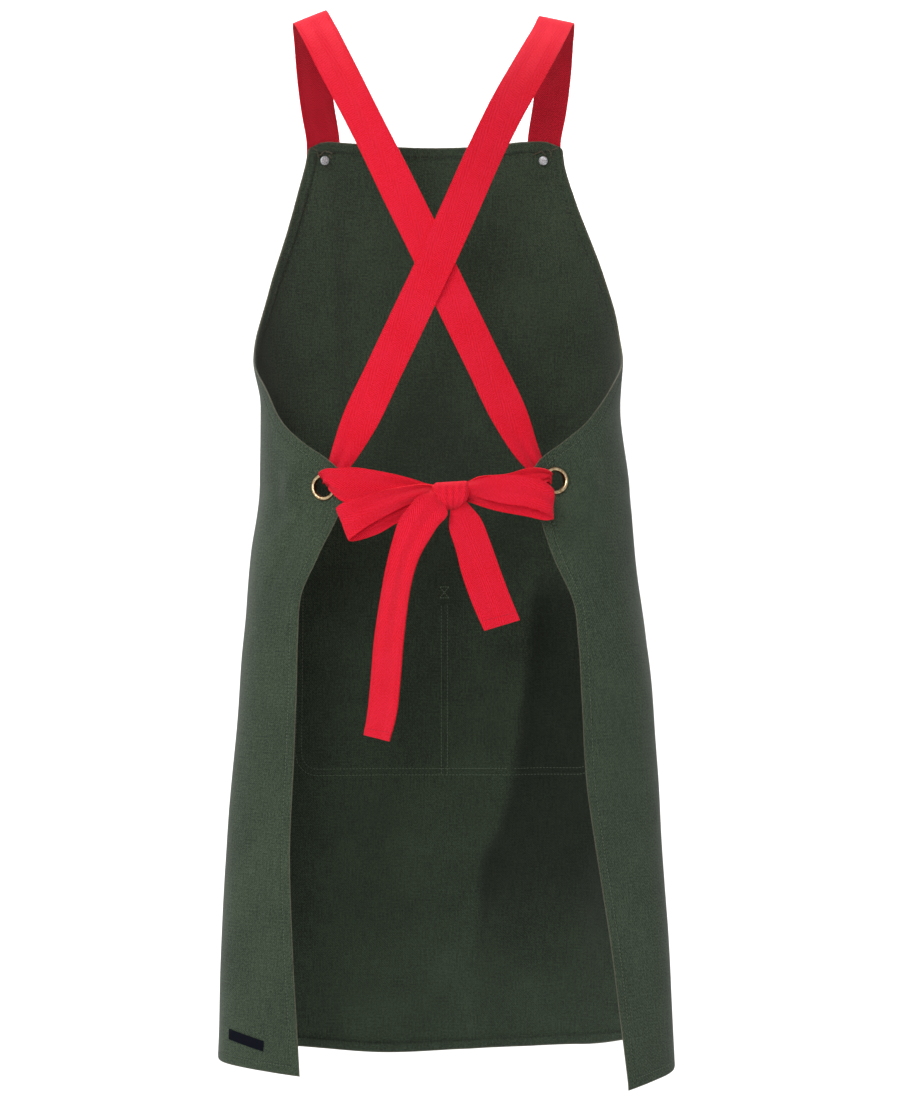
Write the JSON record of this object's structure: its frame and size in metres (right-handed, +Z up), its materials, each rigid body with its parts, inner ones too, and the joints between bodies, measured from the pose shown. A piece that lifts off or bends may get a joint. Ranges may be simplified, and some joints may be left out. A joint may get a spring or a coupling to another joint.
{
  "type": "cross back apron",
  "caption": "Worn work apron: hemmed cloth panel with bib and wings, straps that cross on the back, pass through eyelets in the wing tips and tie in a bow, and a front pocket.",
  "frame": {"origin": "midway between the two straps on top of the shoulders, where the apron hangs", "axes": "+Z up, +Y towards the wearer's chest, -Y towards the back with the bow, +X to the right of somebody who looks at the back"},
  "size_m": [0.4331, 0.2617, 1.0176],
  "materials": {
    "cloth": "dark green cotton twill, matt",
    "tape": "bright red woven twill tape, matt",
    "eyelet": "antique brass, satin",
    "stud": "nickel, satin",
    "label": "dark navy woven tape, matt, bare"
  },
  "bodies": {
    "root": {"apron_panel": "cloth", "front_pocket": "cloth", "strap_left": "tape", "strap_right": "tape", "bow_knot": "tape", "bow_loop_left": "tape", "bow_loop_right": "tape", "bow_tail_left": "tape", "bow_tail_right": "tape", "eyelet_left": "eyelet", "eyelet_right": "eyelet", "stud_left": "stud", "stud_right": "stud", "hem_label": "label"}
  },
  "joints": []
}
